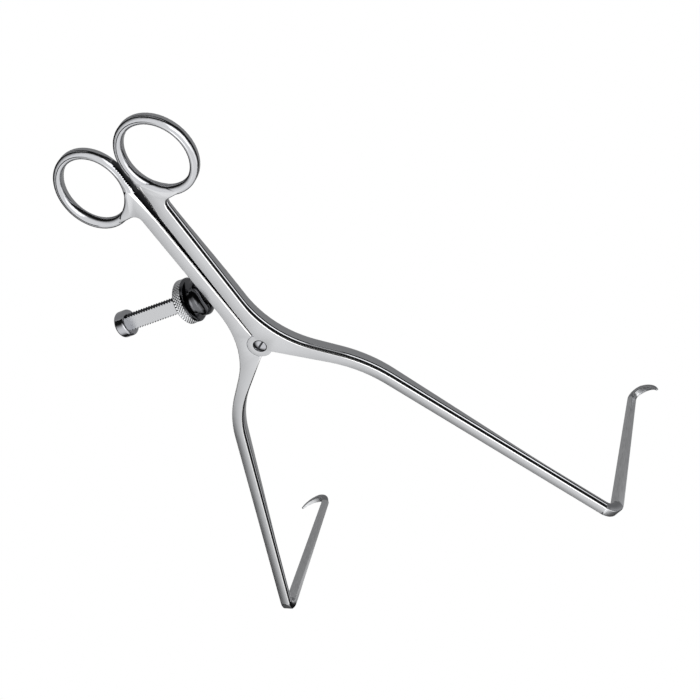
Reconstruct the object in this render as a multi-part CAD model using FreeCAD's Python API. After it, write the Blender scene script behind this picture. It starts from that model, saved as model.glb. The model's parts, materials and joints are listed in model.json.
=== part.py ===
"""A self retaining retractor: two ring-handled levers on a screw joint, spread and held by a knurled nut.

The levers don't cross: squeezing the finger rings together drives the hooked prongs apart. A flat-sided
threaded bar is pinned in the left lever and passes through a window in the right one. The knurled nut on
the bar pushes a domed collar against the right lever, and so holds the prongs open.

It is drawn in millimetres with +Z up along the pivot screw, +Y from the rings towards the prongs and +X to
the right, from an origin on the pivot axis in the plane of the levers' flat top faces. The prongs point
down. Last of all it is stood on its rings and hooks, with the origin on the floor under its middle.
"""

import FreeCAD
import Part
import math
import os

from FreeCAD import Placement, Rotation, Vector

# Levers, seen from above. Headings are degrees from +Y, turning outwards.
SHANK_WIDTH = 5.4
FLARE_HEADING = 47.0
FLARE_START = 2.0
FLARE_RADIUS = 40.0
ARM_HEADING = 25.0
ARM_RADIUS = 58.0
ARM_OFFSET = 18.3
ARM_WIDTH = 4.4
CROTCH_HEADING = 52.0
CROTCH_X = 3.6
CROTCH_Y = 5.3
CROTCH_RADIUS = 50.0
GAP_AT_JOINT = 0.25
GAP_AT_NECK = 0.8
GAP_CORNER_Y = -12.0

# Levers, seen from the side.
JOINT_DEPTH = 7.0
RING_DEPTH = 5.0
ARM_END_DEPTH = 4.4
JOINT_FLAT_LENGTH = 56.0
ARM_TAPER_LENGTH = 70.0
PROFILE_RADIUS = 400.0
BOTTOM_ROUNDING = 1.3
TOP_BEVEL = 0.4

# Finger rings.
RING_X = 15.3
RING_Y = -84.5
RING_HOLE_LENGTH = 26.2
RING_HOLE_WIDTH = 23.0
RING_WALL = 3.1
RING_TILT = 9.4
RING_ROUNDING = 1.4
NECK_Y = -64.0
NECK_CORNER_Y = -69.0
NECK_RADIUS = 3.0
NECK_FOOT_HEADING = -2.6
NECK_FOOT_BITE = 0.8
INNER_FOOT_HEADING = -65.6

# Prongs and hooks.
ARM_REACH = 157.2
BEND_RADIUS = 6.4
BEND_ANGLE = 85.4
PRONG_LENGTH = 70.4
PRONG_TIP_SHARE = 0.72
HOOK_RADIUS = 4.6
HOOK_ANGLE = 92.0
HOOK_TURN = -18.0
CLAW_RADIUS = 10.0
CLAW_LENGTH = 10.5
CLAW_TIP_SHARE = 0.28
CLAW_SECTIONS = 8

# Screw joint.
BOSS_RADIUS = 5.0
POCKET_CLEARANCE = 0.2
LAP_GAP = 0.06
SCREW_HEAD_RADIUS = 2.7
SCREW_HEAD_DEPTH = 1.6
SCREW_HEAD_SINK = 0.05
SCREW_HEAD_CHAMFER = 0.25
SCREW_SLOT_WIDTH = 0.8
SCREW_SLOT_DEPTH = 0.7
SCREW_SLOT_TURN = 28.0
SHOULDER_RADIUS = 2.0
SCREW_THREAD_RADIUS = 1.6
RUNNING_CLEARANCE = 0.05
HEAD_CLEARANCE = 0.12

# Threaded bar and its pin. The bar's places are measured along it, from the pin.
BAR_PIN_X = -2.9
BAR_PIN_Y = -26.7
BAR_PIN_RADIUS = 0.9
BAR_PIN_LENGTH = 6.2
BAR_HEADING = 94.6
BAR_LENGTH = 46.5
BAR_DIAMETER = 7.0
BAR_THICKNESS = 2.4
TONGUE_WIDTH = 3.6
TONGUE_LENGTH = 5.0
TENON_WIDTH = 4.0
MORTISE_CLEARANCE = 0.2
MORTISE_SWING = 2.2
WINDOW_CLEARANCE = 0.2
WINDOW_LENGTH = 11.2
WINDOW_Y = -26.7

# Collar, nut and end stop, in order along the bar.
COLLAR_START = 9.55
COLLAR_RADIUS = 7.4
COLLAR_NOSE_RADIUS = 4.4
COLLAR_DOME = 1.8
COLLAR_SWELL_X = 0.63
COLLAR_SWELL_RADIUS = 6.26
COLLAR_RIM = 1.3
BORE_CLEARANCE = 0.08
NUT_COLLAR_GAP = 0.05
NUT_RADIUS = 8.8
NUT_RIM = 4.8
NUT_NECK = 2.5
NUT_NECK_RADIUS = 5.4
NUT_HOLLOW_X = 1.8
NUT_HOLLOW_RADIUS = 5.9
NUT_CHAMFER = 0.8
STOP_RADIUS = 5.3
STOP_THICKNESS = 4.7
STOP_ROUNDING = 1.0

UP = Vector(0, 0, 1)
MIDDLE_DEPTH = -JOINT_DEPTH / 2
FAR = 200.0


def heading(angle):
    """The unit vector in plan at this many degrees from +Y, towards +X."""
    turn = math.radians(angle)
    return Vector(math.sin(turn), math.cos(turn), 0)


def crossing(point, direction, other_point, other_direction):
    """Where two lines in plan cross."""
    gap = other_point - point
    across = direction.x * other_direction.y - direction.y * other_direction.x
    along = (gap.x * other_direction.y - gap.y * other_direction.x) / across
    return point + direction * along


def rounded_path(corners):
    """Edges through the corners, each corner a point and the radius that rounds it, or 0."""
    edges = []
    start = corners[0][0]
    for (before, _), (corner, radius), (after, _) in zip(corners, corners[1:], corners[2:]):
        if radius == 0:
            edges.append(Part.makeLine(start, corner))
            start = corner
            continue
        to_before = (before - corner).normalize()
        to_after = (after - corner).normalize()
        half = to_before.getAngle(to_after) / 2
        reach = radius / math.tan(half)
        first = corner + to_before * reach
        last = corner + to_after * reach
        inward = (to_before + to_after).normalize()
        middle = corner + inward * (radius / math.sin(half) - radius)
        edges.append(Part.makeLine(start, first))
        edges.append(Part.Arc(first, middle, last).toShape())
        start = last
    edges.append(Part.makeLine(start, corners[-1][0]))
    return edges


def prism(edges, bottom, top):
    """A closed outline in plan, drawn at any height, as a solid between two heights."""
    face = Part.Face(Part.Wire(edges))
    face.translate(Vector(0, 0, bottom - face.BoundBox.ZMin))
    return face.extrude(Vector(0, 0, top - bottom))


def disc(radius, bottom, top, centre=Vector()):
    """An upright cylinder between two heights."""
    return Part.makeCylinder(radius, top - bottom, Vector(centre.x, centre.y, bottom))


def block(low, high):
    """A box between its lowest and its highest corner."""
    size = high - low
    return Part.makeBox(size.x, size.y, size.z, low)


def turned(profile):
    """A solid of revolution about the X axis, from its half section in the XY plane."""
    return Part.Face(Part.Wire(profile)).revolve(Vector(), Vector(1, 0, 0), 360)


# Finger ring


def ring_ellipse(grown):
    """The ring's hole, grown outwards by some amount."""
    centre = Vector(RING_X, RING_Y, 0)
    long_end = centre + heading(RING_TILT) * (RING_HOLE_LENGTH / 2 + grown)
    short_end = centre + heading(RING_TILT + 90) * (RING_HOLE_WIDTH / 2 + grown)
    return Part.Ellipse(long_end, short_end, centre)


def finger_ring():
    """The ring alone, with its section rounded on all four edges."""
    hoop = prism([ring_ellipse(RING_WALL).toShape()], -RING_DEPTH, 0)
    hoop = hoop.cut(prism([ring_ellipse(0).toShape()], -RING_DEPTH, 0))
    rims = [edge for edge in hoop.Edges if edge.BoundBox.ZLength < 0.01]
    return hoop.makeFillet(RING_ROUNDING, rims)


# Shank and arm


def side_profile():
    """The lever's depth along its length: a flat top, and an underside that rises towards both ends."""
    half = JOINT_FLAT_LENGTH / 2
    ring_end = RING_Y - RING_HOLE_LENGTH
    underside = rounded_path([
        (Vector(0, FAR, -ARM_END_DEPTH), 0),
        (Vector(0, half + ARM_TAPER_LENGTH, -ARM_END_DEPTH), PROFILE_RADIUS),
        (Vector(0, half, -JOINT_DEPTH), PROFILE_RADIUS),
        (Vector(0, -half, -JOINT_DEPTH), PROFILE_RADIUS),
        (Vector(0, NECK_Y, -RING_DEPTH), PROFILE_RADIUS),
        (Vector(0, ring_end, -RING_DEPTH), 0),
    ])
    rest = [
        Part.makeLine(Vector(0, ring_end, -RING_DEPTH), Vector(0, ring_end, 0)),
        Part.makeLine(Vector(0, ring_end, 0), Vector(0, FAR, 0)),
        Part.makeLine(Vector(0, FAR, 0), Vector(0, FAR, -ARM_END_DEPTH)),
    ]
    face = Part.Face(Part.Wire(underside + rest))
    face.translate(Vector(-FAR, 0, 0))
    return face.extrude(Vector(2 * FAR, 0, 0))


def bend_start():
    """The middle of the arm's top face, where the bend down into the prong starts."""
    setback = BEND_RADIUS * math.tan(math.radians(BEND_ANGLE) / 2)
    return heading(ARM_HEADING + 90) * ARM_OFFSET + heading(ARM_HEADING) * (ARM_REACH - setback)


def shank_and_arm():
    """The lever from inside its ring to the bend, bevelled round the top face and rounded below."""
    arm_line = heading(ARM_HEADING)
    half_arm = heading(ARM_HEADING + 90) * (ARM_WIDTH / 2)
    outer_end = bend_start() + half_arm
    inner_end = bend_start() - half_arm
    neck = Vector(GAP_AT_NECK, NECK_Y, 0)
    gap_corner = Vector(GAP_AT_JOINT, GAP_CORNER_Y, 0)
    gap_line = (gap_corner - neck).normalize()
    across = Vector(gap_line.y, -gap_line.x, 0)
    ring_centre = Vector(RING_X, RING_Y, 0)
    outer_reach = RING_HOLE_LENGTH / 2 + RING_WALL - NECK_FOOT_BITE
    inner_foot = ring_centre + heading(INNER_FOOT_HEADING) * (RING_HOLE_WIDTH + RING_WALL) / 2
    outer_foot = ring_centre + heading(NECK_FOOT_HEADING) * outer_reach
    outer_side = neck + across * SHANK_WIDTH
    neck_corner = crossing(outer_side, gap_line, Vector(0, NECK_CORNER_Y, 0), Vector(1, 0, 0))
    flare_corner = crossing(outer_side, gap_line, Vector(0, -FLARE_START, 0), Vector(1, 0, 0))
    outer_turn = crossing(flare_corner, heading(FLARE_HEADING), outer_end, arm_line)
    crotch = Vector(CROTCH_X, CROTCH_Y, 0)
    inner_turn = crossing(crotch, heading(CROTCH_HEADING), inner_end, arm_line)
    crotch_foot = crossing(crotch, heading(CROTCH_HEADING), gap_corner, Vector(0, 1, 0))
    outline = rounded_path([
        (outer_foot, 0),
        (neck_corner, NECK_RADIUS),
        (flare_corner, FLARE_RADIUS),
        (outer_turn, ARM_RADIUS),
        (outer_end, 0),
        (inner_end, 0),
        (inner_turn, CROTCH_RADIUS),
        (crotch_foot, 0),
        (gap_corner, 0),
        (neck, 0),
        (inner_foot, 0),
        (outer_foot, 0),
    ])
    bar = prism(outline, -JOINT_DEPTH, 0).common(side_profile())

    def stays_sharp(edge):
        box = edge.BoundBox
        at_arm_end = abs((edge.CenterOfMass - bend_start()).dot(arm_line)) < 0.01
        middle = Vector(edge.CenterOfMass.x, edge.CenterOfMass.y, 0)
        inside_ring = (middle - (inner_foot + outer_foot) / 2).Length < 0.01
        upright = box.ZLength > max(box.XLength, box.YLength)
        crosswise = box.YLength < 0.01
        return at_arm_end or inside_ring or upright or crosswise

    top = [edge for edge in bar.Edges if edge.BoundBox.ZMin > -0.01 and not stays_sharp(edge)]
    bar = bar.makeChamfer(TOP_BEVEL, top)
    bottom = [edge for edge in bar.Edges if edge.BoundBox.ZMax < -RING_DEPTH / 2 and not stays_sharp(edge)]
    return bar.makeFillet(BOTTOM_ROUNDING, bottom)


# Prong and hook


def bent(face, centre, axis, angle):
    """The solid that a section sweeps as it turns about an axis, and the section at its end."""
    end = face.copy()
    end.rotate(centre, axis, angle)
    return face.revolve(centre, axis, angle), end


def shrunk(wire, share, centre):
    """A section's outline, made smaller about a point."""
    result = wire.copy()
    result.scale(share, centre)
    return result


def prong_and_hook(arm):
    """Swept on from the arm's end section: a bend down, a tapering prong, and a hook that turns outwards."""
    forward = heading(ARM_HEADING)
    out = heading(ARM_HEADING + 90)
    start = bend_start() - UP * (ARM_END_DEPTH / 2)
    section = min(arm.Faces, key=lambda face: (face.CenterOfMass - start).Length)
    bend, section = bent(section, start - UP * BEND_RADIUS, out * -1, BEND_ANGLE)
    fall = math.radians(BEND_ANGLE)
    down = forward * math.cos(fall) - UP * math.sin(fall)
    middle = start - UP * BEND_RADIUS + (UP * math.cos(fall) + forward * math.sin(fall)) * BEND_RADIUS
    low = middle + down * PRONG_LENGTH
    wide_wire = section.OuterWire
    thin_wire = shrunk(wide_wire, PRONG_TIP_SHARE, middle)
    thin_wire.translate(down * PRONG_LENGTH)
    prong = Part.makeLoft([wide_wire, thin_wire], True, True)

    aside = Rotation(down, HOOK_TURN).multVec(out)
    hook_axis = down.cross(aside)
    hook_centre = low + aside * HOOK_RADIUS
    hook, section = bent(Part.Face(thin_wire), hook_centre, hook_axis, HOOK_ANGLE)
    apex = hook_centre + Rotation(hook_axis, HOOK_ANGLE).multVec(aside * -HOOK_RADIUS)
    inward = (hook_centre - apex).normalize()
    claw_centre = apex + inward * CLAW_RADIUS
    wires = []
    for number in range(CLAW_SECTIONS):
        progress = number / (CLAW_SECTIONS - 1)
        wire = shrunk(section.OuterWire, 1 - (1 - CLAW_TIP_SHARE) * progress, apex)
        wire.rotate(claw_centre, hook_axis, math.degrees(CLAW_LENGTH * progress / CLAW_RADIUS))
        wires.append(wire)
    claw = Part.makeLoft(wires, True, False)
    return [bend, prong, hook, claw]


# Levers on their screw joint


def lever_blank():
    """The right lever as forged and polished, before the joint and the bar's window are cut."""
    arm = shank_and_arm()
    pieces = [finger_ring()] + prong_and_hook(arm)
    return arm.fuse(pieces).removeSplitter()


def window():
    """The opening across the right shank that the bar passes through."""
    half_height = BAR_THICKNESS / 2 + WINDOW_CLEARANCE
    low = Vector(-GAP_AT_NECK, WINDOW_Y - WINDOW_LENGTH / 2, MIDDLE_DEPTH - half_height)
    high = Vector(2 * SHANK_WIDTH, WINDOW_Y + WINDOW_LENGTH / 2, MIDDLE_DEPTH + half_height)
    return block(low, high)


def mortise():
    """The pocket in the left shank in which the bar's tongue swings on its pin."""
    half_height = BAR_THICKNESS / 2 + WINDOW_CLEARANCE
    half_width = TONGUE_WIDTH / 2 + MORTISE_CLEARANCE
    pin = Vector(BAR_PIN_X, BAR_PIN_Y, 0)
    low = Vector(pin.x, pin.y - half_width - MORTISE_CLEARANCE, MIDDLE_DEPTH - half_height)
    high = Vector(GAP_AT_NECK, pin.y + half_width + MORTISE_SWING, MIDDLE_DEPTH + half_height)
    end = disc(half_width, MIDDLE_DEPTH - half_height, MIDDLE_DEPTH + half_height, pin)
    return block(low, high).fuse(end)


def pin_hole():
    """The blind hole for the bar's pin, bored from below so that the top face stays whole."""
    return disc(BAR_PIN_RADIUS, -JOINT_DEPTH, BAR_PIN_LENGTH - JOINT_DEPTH, Vector(BAR_PIN_X, BAR_PIN_Y, 0))


def right_lever(blank):
    """Carries the lower half of the lap, with the screw's threaded hole, and the window for the bar."""
    lap_top = MIDDLE_DEPTH - LAP_GAP / 2
    lap = disc(BOSS_RADIUS, -JOINT_DEPTH, lap_top)
    pocket = disc(BOSS_RADIUS + POCKET_CLEARANCE, lap_top, 0)
    screw_hole = disc(SCREW_THREAD_RADIUS, -JOINT_DEPTH, 0)
    return blank.fuse(lap).cut([pocket, screw_hole, window()]).removeSplitter()


def left_lever(blank):
    """Carries the upper half of the lap, a round boss flush with the top, and the pocket for the bar."""
    lap_bottom = MIDDLE_DEPTH + LAP_GAP / 2
    boss = disc(BOSS_RADIUS, lap_bottom, 0)
    pocket = disc(BOSS_RADIUS + POCKET_CLEARANCE, -JOINT_DEPTH, lap_bottom)
    shoulder_hole = disc(SHOULDER_RADIUS + RUNNING_CLEARANCE, lap_bottom, 0)
    seat = -SCREW_HEAD_SINK - SCREW_HEAD_DEPTH - RUNNING_CLEARANCE
    head_hole = disc(SCREW_HEAD_RADIUS + HEAD_CLEARANCE, seat, 0)
    body = blank.mirror(Vector(), Vector(1, 0, 0)).fuse(boss)
    return body.cut([pocket, shoulder_hole, head_hole, mortise(), pin_hole()]).removeSplitter()


def pivot_screw():
    """A slotted shoulder screw: its head turns in the left lever's boss, its thread holds the right lever."""
    head_top = -SCREW_HEAD_SINK
    head_bottom = head_top - SCREW_HEAD_DEPTH
    shoulder_bottom = MIDDLE_DEPTH - LAP_GAP / 2
    head = disc(SCREW_HEAD_RADIUS, head_bottom, head_top)
    rim = [edge for edge in head.Edges if edge.BoundBox.ZMin > head_top - 0.01]
    head = head.makeChamfer(SCREW_HEAD_CHAMFER, rim)
    slot_low = Vector(-SCREW_HEAD_RADIUS, -SCREW_SLOT_WIDTH / 2, head_top - SCREW_SLOT_DEPTH)
    slot_high = Vector(SCREW_HEAD_RADIUS, SCREW_SLOT_WIDTH / 2, 0)
    slot = block(slot_low, slot_high)
    slot.rotate(Vector(), UP, SCREW_SLOT_TURN)
    shoulder = disc(SHOULDER_RADIUS, shoulder_bottom, head_bottom)
    thread = disc(SCREW_THREAD_RADIUS, -JOINT_DEPTH, shoulder_bottom)
    return head.cut(slot).fuse([shoulder, thread]).removeSplitter()


# Bar and what rides on it, drawn along +X from the pin


def on_bar(shape):
    """A piece drawn along the X axis, laid on the bar's line."""
    result = shape.copy()
    turn = Rotation(UP, 90 - BAR_HEADING)
    result.Placement = Placement(Vector(BAR_PIN_X, BAR_PIN_Y, MIDDLE_DEPTH), turn).multiply(shape.Placement)
    return result


def threaded_bar():
    """A round rod milled flat above and below, with a pinned tongue at one end and a tenon at the other."""
    rod_start = Vector(TONGUE_LENGTH, 0, 0)
    rod = Part.makeCylinder(BAR_DIAMETER / 2, BAR_LENGTH - TONGUE_LENGTH, rod_start, Vector(1, 0, 0))
    low = Vector(0, -BAR_DIAMETER / 2, -BAR_THICKNESS / 2)
    high = Vector(BAR_LENGTH, BAR_DIAMETER / 2, BAR_THICKNESS / 2)
    blade = rod.common(block(low, high))
    eye = disc(TONGUE_WIDTH / 2, low.z, high.z)
    tongue = block(Vector(0, -TONGUE_WIDTH / 2, low.z), Vector(TONGUE_LENGTH, TONGUE_WIDTH / 2, high.z))
    tenon_end = BAR_LENGTH + STOP_THICKNESS
    tenon = block(Vector(BAR_LENGTH, -TENON_WIDTH / 2, low.z), Vector(tenon_end, TENON_WIDTH / 2, high.z))
    pin_bore = disc(BAR_PIN_RADIUS + RUNNING_CLEARANCE, low.z, high.z)
    return on_bar(blade.fuse([eye, tongue, tenon]).removeSplitter().cut(pin_bore))


def bar_pin():
    """A plain pin, flush with the left lever's underside."""
    return disc(BAR_PIN_RADIUS, -JOINT_DEPTH, BAR_PIN_LENGTH - JOINT_DEPTH, Vector(BAR_PIN_X, BAR_PIN_Y, 0))


def bored(solid, start, end):
    """A turned piece with the hole that lets the bar through."""
    bore_radius = BAR_DIAMETER / 2 + BORE_CLEARANCE
    return solid.cut(Part.makeCylinder(bore_radius, end - start, Vector(start, 0, 0), Vector(1, 0, 0)))


def thrust_collar():
    """A smooth washer with a domed nose that bears on the right shank at any angle."""
    dome_end = COLLAR_START + COLLAR_DOME
    end = dome_end + COLLAR_RIM
    nose = Vector(COLLAR_START, COLLAR_NOSE_RADIUS, 0)
    rim = Vector(dome_end, COLLAR_RADIUS, 0)
    swell = Vector(COLLAR_START + COLLAR_SWELL_X, COLLAR_SWELL_RADIUS, 0)
    profile = [
        Part.makeLine(Vector(COLLAR_START, 0, 0), nose),
        Part.Arc(nose, swell, rim).toShape(),
        Part.makeLine(rim, Vector(end, COLLAR_RADIUS, 0)),
        Part.makeLine(Vector(end, COLLAR_RADIUS, 0), Vector(end, 0, 0)),
        Part.makeLine(Vector(end, 0, 0), Vector(COLLAR_START, 0, 0)),
    ]
    return on_bar(bored(turned(profile), COLLAR_START, end))


def knurled_nut():
    """A round nut whose waisted neck bears on the collar. Its thread is cut to the bar's diameter."""
    start = COLLAR_START + COLLAR_DOME + COLLAR_RIM + NUT_COLLAR_GAP
    neck_end = start + NUT_NECK
    end = neck_end + NUT_RIM
    shoulder_radius = NUT_RADIUS - NUT_CHAMFER
    foot = Vector(start, NUT_NECK_RADIUS, 0)
    shoulder = Vector(neck_end, shoulder_radius, 0)
    hollow = Vector(start + NUT_HOLLOW_X, NUT_HOLLOW_RADIUS, 0)
    profile = [
        Part.makeLine(Vector(start, 0, 0), foot),
        Part.Arc(foot, hollow, shoulder).toShape(),
        Part.makeLine(shoulder, Vector(neck_end + NUT_CHAMFER, NUT_RADIUS, 0)),
        Part.makeLine(Vector(neck_end + NUT_CHAMFER, NUT_RADIUS, 0), Vector(end - NUT_CHAMFER, NUT_RADIUS, 0)),
        Part.makeLine(Vector(end - NUT_CHAMFER, NUT_RADIUS, 0), Vector(end, shoulder_radius, 0)),
        Part.makeLine(Vector(end, shoulder_radius, 0), Vector(end, 0, 0)),
        Part.makeLine(Vector(end, 0, 0), Vector(start, 0, 0)),
    ]
    return on_bar(bored(turned(profile), start, end))


def end_stop():
    """A round head riveted on the bar's tenon, which keeps the nut from running off."""
    axis = Vector(1, 0, 0)
    head = Part.makeCylinder(STOP_RADIUS, STOP_THICKNESS, Vector(BAR_LENGTH, 0, 0), axis)
    rims = [edge for edge in head.Edges if edge.BoundBox.XLength < 0.01]
    head = head.makeFillet(STOP_ROUNDING, rims)
    low = Vector(BAR_LENGTH, -TENON_WIDTH / 2, -BAR_THICKNESS / 2)
    high = Vector(BAR_LENGTH + STOP_THICKNESS, TENON_WIDTH / 2, BAR_THICKNESS / 2)
    return on_bar(head.cut(block(low, high)))


# Whole instrument


def instrument():
    """Every piece by its name, in the frame it is drawn in."""
    blank = lever_blank()
    return {
        "right_lever": right_lever(blank),
        "left_lever": left_lever(blank),
        "pivot_screw": pivot_screw(),
        "threaded_bar": threaded_bar(),
        "bar_pin": bar_pin(),
        "end_stop": end_stop(),
        "thrust_collar": thrust_collar(),
        "knurled_nut": knurled_nut(),
    }


def lowest(shape, tilt):
    """The height of a shape's lowest point, once it is tilted about the X axis."""
    tilted = shape.copy()
    tilted.rotate(Vector(), Vector(1, 0, 0), tilt)
    return tilted.optimalBoundingBox(False).ZMin


def stance(pieces):
    """Where the instrument stands on its rings and hooks, with the floor's origin under its middle."""
    lever = pieces["right_lever"]
    half_space = Vector(-FAR, -FAR, -FAR)
    ring_end = lever.common(block(half_space, Vector(FAR, NECK_Y, FAR)))
    hook_end = lever.common(block(half_space, Vector(FAR, FAR, -JOINT_DEPTH)))
    low = 0.0
    high = 45.0
    while high - low > 0.0005:
        tilt = (low + high) / 2
        if lowest(hook_end, tilt) < lowest(ring_end, tilt):
            low = tilt
        else:
            high = tilt
    whole = Part.makeCompound(list(pieces.values()))
    whole.rotate(Vector(), Vector(1, 0, 0), tilt)
    box = whole.optimalBoundingBox(False)
    shift = Vector(-(box.XMin + box.XMax) / 2, -(box.YMin + box.YMax) / 2, -box.ZMin)
    return Placement(shift, Rotation(Vector(1, 0, 0), tilt))


def main():
    """Stand the instrument up and write one file for each piece."""
    os.makedirs("parts", exist_ok=True)
    pieces = instrument()
    place = stance(pieces)
    for name, shape in pieces.items():
        if len(shape.Solids) != 1 or not shape.isValid():
            print("check", name, len(shape.Solids), shape.isValid())
        solid = shape.Solids[0].copy()
        solid.Placement = place.multiply(solid.Placement)
        solid.exportStep(os.path.join("parts", name + ".step"))
    print("pivot at", place.Base, "tilted by", math.degrees(place.Rotation.Angle))


main()
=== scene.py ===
"""Self retaining retractor, in polished and satin stainless steel.

Two ring-handled levers turn on a screw joint. A knurled nut on a flat-sided threaded bar holds their hooked
prongs apart. Each piece has an operator of its own, and main() calls them in order.
"""
import json
import math

import bmesh
import bpy
from bpy.props import FloatProperty, FloatVectorProperty, IntProperty, PointerProperty
from mathutils import Euler, Matrix, Vector


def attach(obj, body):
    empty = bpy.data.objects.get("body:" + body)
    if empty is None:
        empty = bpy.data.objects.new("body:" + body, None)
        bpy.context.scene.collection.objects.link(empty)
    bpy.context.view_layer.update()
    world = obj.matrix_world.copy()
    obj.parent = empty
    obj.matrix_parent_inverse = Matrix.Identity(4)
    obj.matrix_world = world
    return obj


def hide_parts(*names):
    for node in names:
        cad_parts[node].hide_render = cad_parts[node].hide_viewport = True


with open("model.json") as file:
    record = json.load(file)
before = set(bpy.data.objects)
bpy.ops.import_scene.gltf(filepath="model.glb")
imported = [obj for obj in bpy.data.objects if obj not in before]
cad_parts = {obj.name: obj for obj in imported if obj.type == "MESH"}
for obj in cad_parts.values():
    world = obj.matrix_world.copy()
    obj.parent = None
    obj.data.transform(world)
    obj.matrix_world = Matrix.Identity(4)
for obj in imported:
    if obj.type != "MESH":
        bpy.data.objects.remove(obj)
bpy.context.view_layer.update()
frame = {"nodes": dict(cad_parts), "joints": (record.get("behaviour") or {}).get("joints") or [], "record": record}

bl_info = {
    "name": "Self retaining retractor",
    "version": (1, 0, 0),
    "blender": (4, 5, 0),
    "location": "View3D > Sidebar > Retractor",
    "description": "Builds a ring-handled retractor with a knurled nut on a threaded bar",
    "category": "Add Mesh",
}

MM = 0.001

# Places and directions, from the frame's own joints. The instrument is drawn with its pivot as the origin
# and its flat top level, and DRAWN takes a place in the frame to there
JOINTS = {joint["name"]: joint for joint in frame["joints"]}
PIVOT = Vector(JOINTS["lever_hinge"]["pos_m"])
TOP = Vector(JOINTS["lever_hinge"]["axis"]).normalized()
BAR_PIN = Vector(JOINTS["bar_swing"]["pos_m"])
ALONG_BAR = Vector(JOINTS["collar_slide"]["axis"]).normalized()
ACROSS_BAR = TOP.cross(ALONG_BAR).normalized()
LEAN = math.atan2(-TOP.y, TOP.z)
STANCE = Matrix.Translation(PIVOT) @ Matrix.Rotation(LEAN, 4, "X")
DRAWN = STANCE.inverted()
FORWARD = STANCE.to_3x3() @ Vector((0, 1, 0))
BAR_PLACE = Matrix.Translation(BAR_PIN) @ Matrix((ALONG_BAR, ACROSS_BAR, TOP)).transposed().to_4x4()
MOUNTS = {mount["name"]: DRAWN @ Vector(mount["pos_m"]) for mount in frame["record"]["mounts"]}
ARM_HEADING = (MOUNTS["right_hook"] - MOUNTS["right_arm_top"]).to_2d().normalized()


def reach(node, direction, origin):
    """How far a CAD node goes along a direction from a point: its least and its greatest distance."""
    steps = [(vertex.co - origin).dot(direction) for vertex in frame["nodes"][node].data.vertices]
    return min(steps), max(steps)


# The bar and the nut, measured from the bar's pin
BAR_RADIUS = reach("threaded_bar", ACROSS_BAR, BAR_PIN)[1]
BAR_HALF_THICKNESS = reach("threaded_bar", TOP, BAR_PIN)[1]
STOP_START = reach("end_stop", ALONG_BAR, BAR_PIN)[0]
TONGUE_LENGTH = 5.0 * MM
NUT_END = reach("knurled_nut", ALONG_BAR, BAR_PIN)[1]
NUT_RADIUS = reach("knurled_nut", ACROSS_BAR, BAR_PIN)[1]
GRIP_WIDTH = 4.8 * MM
GRIP_TOLERANCE = 0.1 * MM
KNURL_EDGE = 0.8 * MM
KNURL_WIDTH = GRIP_WIDTH - 2 * KNURL_EDGE

# The finger rings: ellipses round their mounts, with rounded rims. The cut that clears a hole stays 0.1 mm
# inside the ring's own wall, and leaves the wall's faces alone
RING_CENTRE = MOUNTS["right_finger_ring"]
RING_TILT = math.radians(9.4)
RING_LONG_WAY = Vector((math.sin(RING_TILT), math.cos(RING_TILT), 0))
RING_SHORT_WAY = Vector((math.cos(RING_TILT), -math.sin(RING_TILT), 0))
RING_HALF_LENGTH = 16.2 * MM
RING_HALF_WIDTH = 14.6 * MM
RING_DEPTH = 5.0 * MM
RING_ROUNDING = 1.4 * MM
RING_LIMIT = 1.04
HOLE_HALF_LENGTH = 13.0 * MM
HOLE_HALF_WIDTH = 11.4 * MM
HOLE_CUT = 10.0 * MM
HOLE_STEPS = 144
RIM_STEPS = 6

# Beside the rings the shanks' inner edges run on along the middle, as far as the rings' nearest points
INNER_EDGE = 0.8 * MM
WEB_START = -64.0 * MM
WEB_WIDEST = -75.7 * MM
WEB_END = -82.0 * MM
WEB_WIDTH = 1.85 * MM
WEB_RIM = 0.6 * MM
WEB_FADE = 2.3 * MM

# Where a lever's finishes and painted light change: depths below the flat top, and the shanks' facing sides, which
# get painted shade
FLAT_TOLERANCE = 0.05 * MM
EDGE_DEPTH = 0.5 * MM
PRONG_FROM = 7.5 * MM
PRONG_TO = 74.0 * MM
BETWEEN_SHANKS = 1.3 * MM
BEHIND_JOINT = -5.0 * MM
LEVEL = 0.999
FACES_UP = 0.3
FACES_ASIDE = 0.8
FAINT = 0.01

# How far the buffing wheel leaned the surface, as a share of its normal. The tables give the lean upwards by
# depth below the top: the first for the shanks' and arms' sides, the second for the rings' walls
SIDE_DEPTH = 5.0 * MM
SIDE_LEANS = (
    (0.0 * MM, 0.5),
    (1.65 * MM, 0.5),
    (1.75 * MM, 1.25),
    (2.2 * MM, 1.25),
    (2.3 * MM, 0.5),
    (2.85 * MM, 0.5),
    (3.0 * MM, -0.08),
)
RING_SIDE_LEANS = (
    (0.7 * MM, 0.75),
    (2.4 * MM, 0.45),
    (4.6 * MM, -0.15),
)
RING_WAVINESS = 0.6
RING_MIDDLE = 0.9
RING_LEAN = 1.25
RING_CREST = 0.82
RING_FADE_START = 0.96
RING_FADE_END = 1.06
SHANK_SLANT = 0.55
SHANK_NEAR = 6.5 * MM
SHANK_FAR = 9.5 * MM
CROWN_LEAN = 0.38
SHANK_CROWN = 0.35
BEND_CROWN = 0.6
FULL_CROWN_FROM = 8.0 * MM
FULL_CROWN_AT = 45.0 * MM
EDGE_LEAN = 0.4
DOME_LEAN = 0.2 / MM

# The grain of each finish. Beads and brush marks are drawn coarser than real ones, so that they show
BEAD_SIZE = 0.35 * MM
BEAD_HEIGHT = 0.02 * MM
CLOUD_SIZE = 14.0 * MM
BUFFING_WAVE = 6.0 * MM
RING_WAVE = 11.0 * MM
STREAK_WIDTH = 0.3 * MM
STREAK_SQUEEZE = 0.08
CUTTER_MARK = 0.5 * MM
CUTTER_HEIGHT = 0.03 * MM

# Small helpers


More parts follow.
